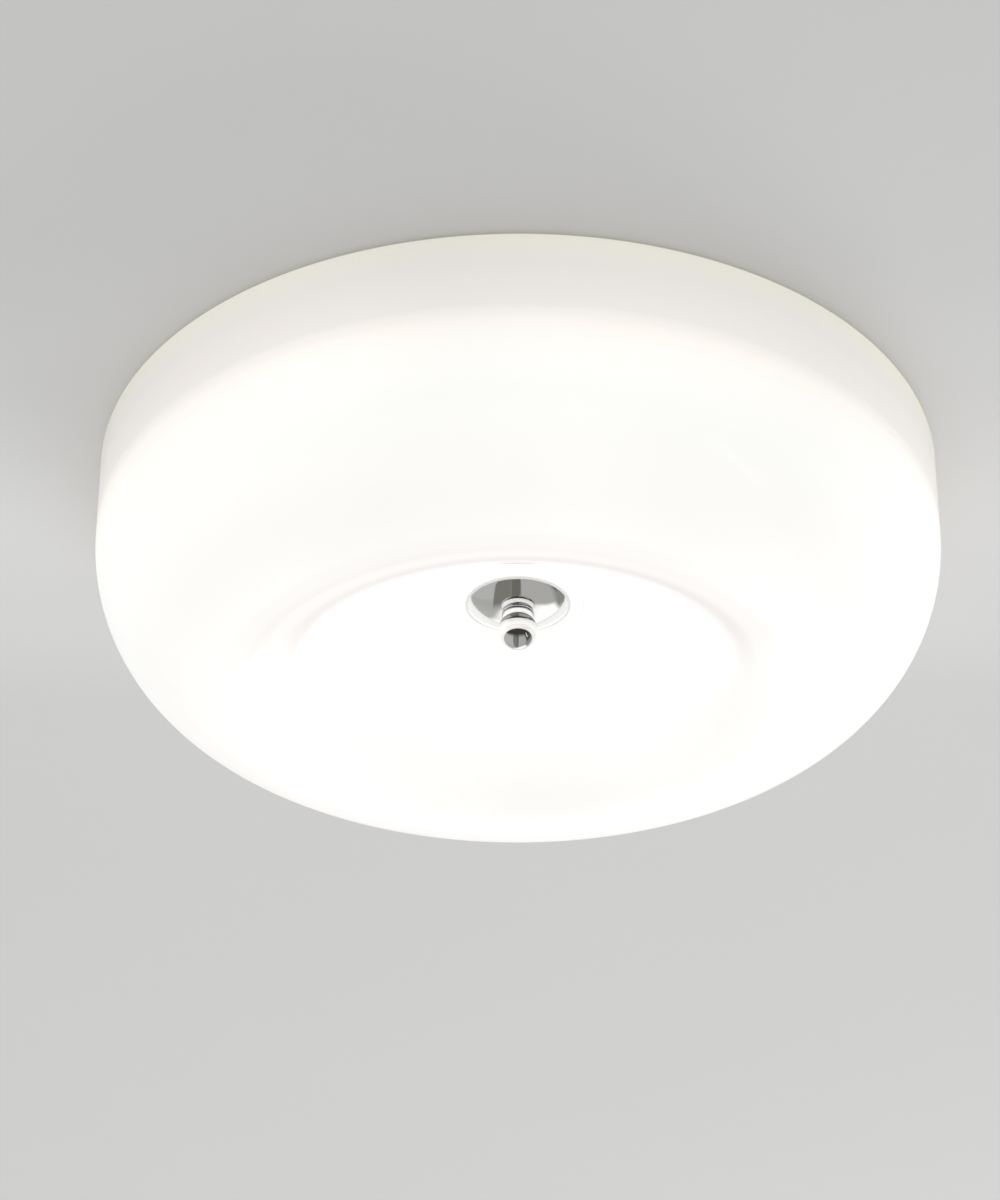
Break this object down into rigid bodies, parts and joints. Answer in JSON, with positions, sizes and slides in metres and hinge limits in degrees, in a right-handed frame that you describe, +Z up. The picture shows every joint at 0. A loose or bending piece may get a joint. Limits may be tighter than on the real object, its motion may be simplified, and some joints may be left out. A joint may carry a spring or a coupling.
{
  "type": "flush mount ceiling light",
  "caption": "Round flush ceiling light: an opal glass shade with a rounded edge and a central dimple, held up by a polished cap and a ball knob under a steel pan.",
  "frame": {"origin": "centre of the crossbar's top face, on the ceiling plane and the lamp's axis", "axes": "+Z up into the ceiling along the lamp's axis; +X along the crossbar; the lamp hangs towards -Z"},
  "size_m": [0.3999, 0.4, 0.118],
  "materials": {
    "opal_glass": "opal white blown glass, glossy",
    "chrome": "polished chrome plate",
    "soft_ring": "milky silicone, satin",
    "white_enamel": "white powder coat, satin",
    "zinc": "zinc plated steel",
    "board_white": "white solder mask on aluminium",
    "led_phosphor": "yellow phosphor",
    "lens_clear": "clear moulded lens",
    "white_plastic": "moulded plastic, fine texture",
    "circuit_green": "solder mask",
    "coil_yellow": "tape wrapped coil",
    "capacitor_black": "sleeved can",
    "terminal_plastic": "natural nylon",
    "tinned_copper": "tinned",
    "grommet_rubber": "black rubber",
    "wire_red": "smooth insulation",
    "wire_black": "smooth insulation",
    "wire_brown": "smooth insulation",
    "wire_blue": "smooth insulation",
    "wire_green_yellow": "green and yellow insulation"
  },
  "bodies": {
    "fixed_base": {"mounting_bracket": "zinc", "hanger_screws": "zinc", "hanger_lock_nuts": "zinc", "base_pan": "white_enamel", "cap_nut_washers": "zinc", "cap_nuts": "zinc", "centre_rod": "zinc", "rod_washers": "zinc", "rod_nuts": "zinc", "stop_nut": "zinc", "seat_washer": "zinc", "shade_cushion": "soft_ring", "led_board": "board_white", "led_chips": "led_phosphor", "led_lenses": "lens_clear", "led_spacers": "zinc", "led_board_screws": "zinc", "led_connector": "white_plastic", "driver_case": "white_plastic", "driver_lid": "white_plastic", "driver_board": "circuit_green", "driver_transformer": "coil_yellow", "driver_capacitors": "capacitor_black", "driver_screws": "zinc", "terminal_block": "terminal_plastic", "terminal_screws": "zinc", "terminal_block_screws": "zinc", "earth_lug": "tinned_copper", "earth_screw": "zinc", "wire_grommet": "grommet_rubber", "light_wire_red": "wire_red", "light_wire_black": "wire_black", "live_wire": "wire_brown", "neutral_wire": "wire_blue", "earth_wire": "wire_green_yellow"},
    "shade": {"glass_shade": "opal_glass"},
    "cap": {"chrome_cap": "chrome", "cap_washer": "soft_ring"},
    "knob": {"finial_knob": "chrome"}
  },
  "joints": [
    {"name": "shade_lower", "type": "slide", "parent": "fixed_base", "child": "shade", "axis": [0, 0, -1], "range_m": [0, 0.12]},
    {"name": "cap_travel", "type": "slide", "parent": "shade", "child": "cap", "axis": [0, 0, -1], "range_m": [0, 0.009]},
    {"name": "knob_turn", "type": "hinge", "parent": "cap", "child": "knob", "pos_m": [0, 0, -0.0825], "axis": [0, 0, -1], "range_deg": [0, 3241]}
  ],
  "couplings": [
    {"joint": "knob_turn", "follows": "cap_travel", "rad_per_m": 6283.2}
  ]
}
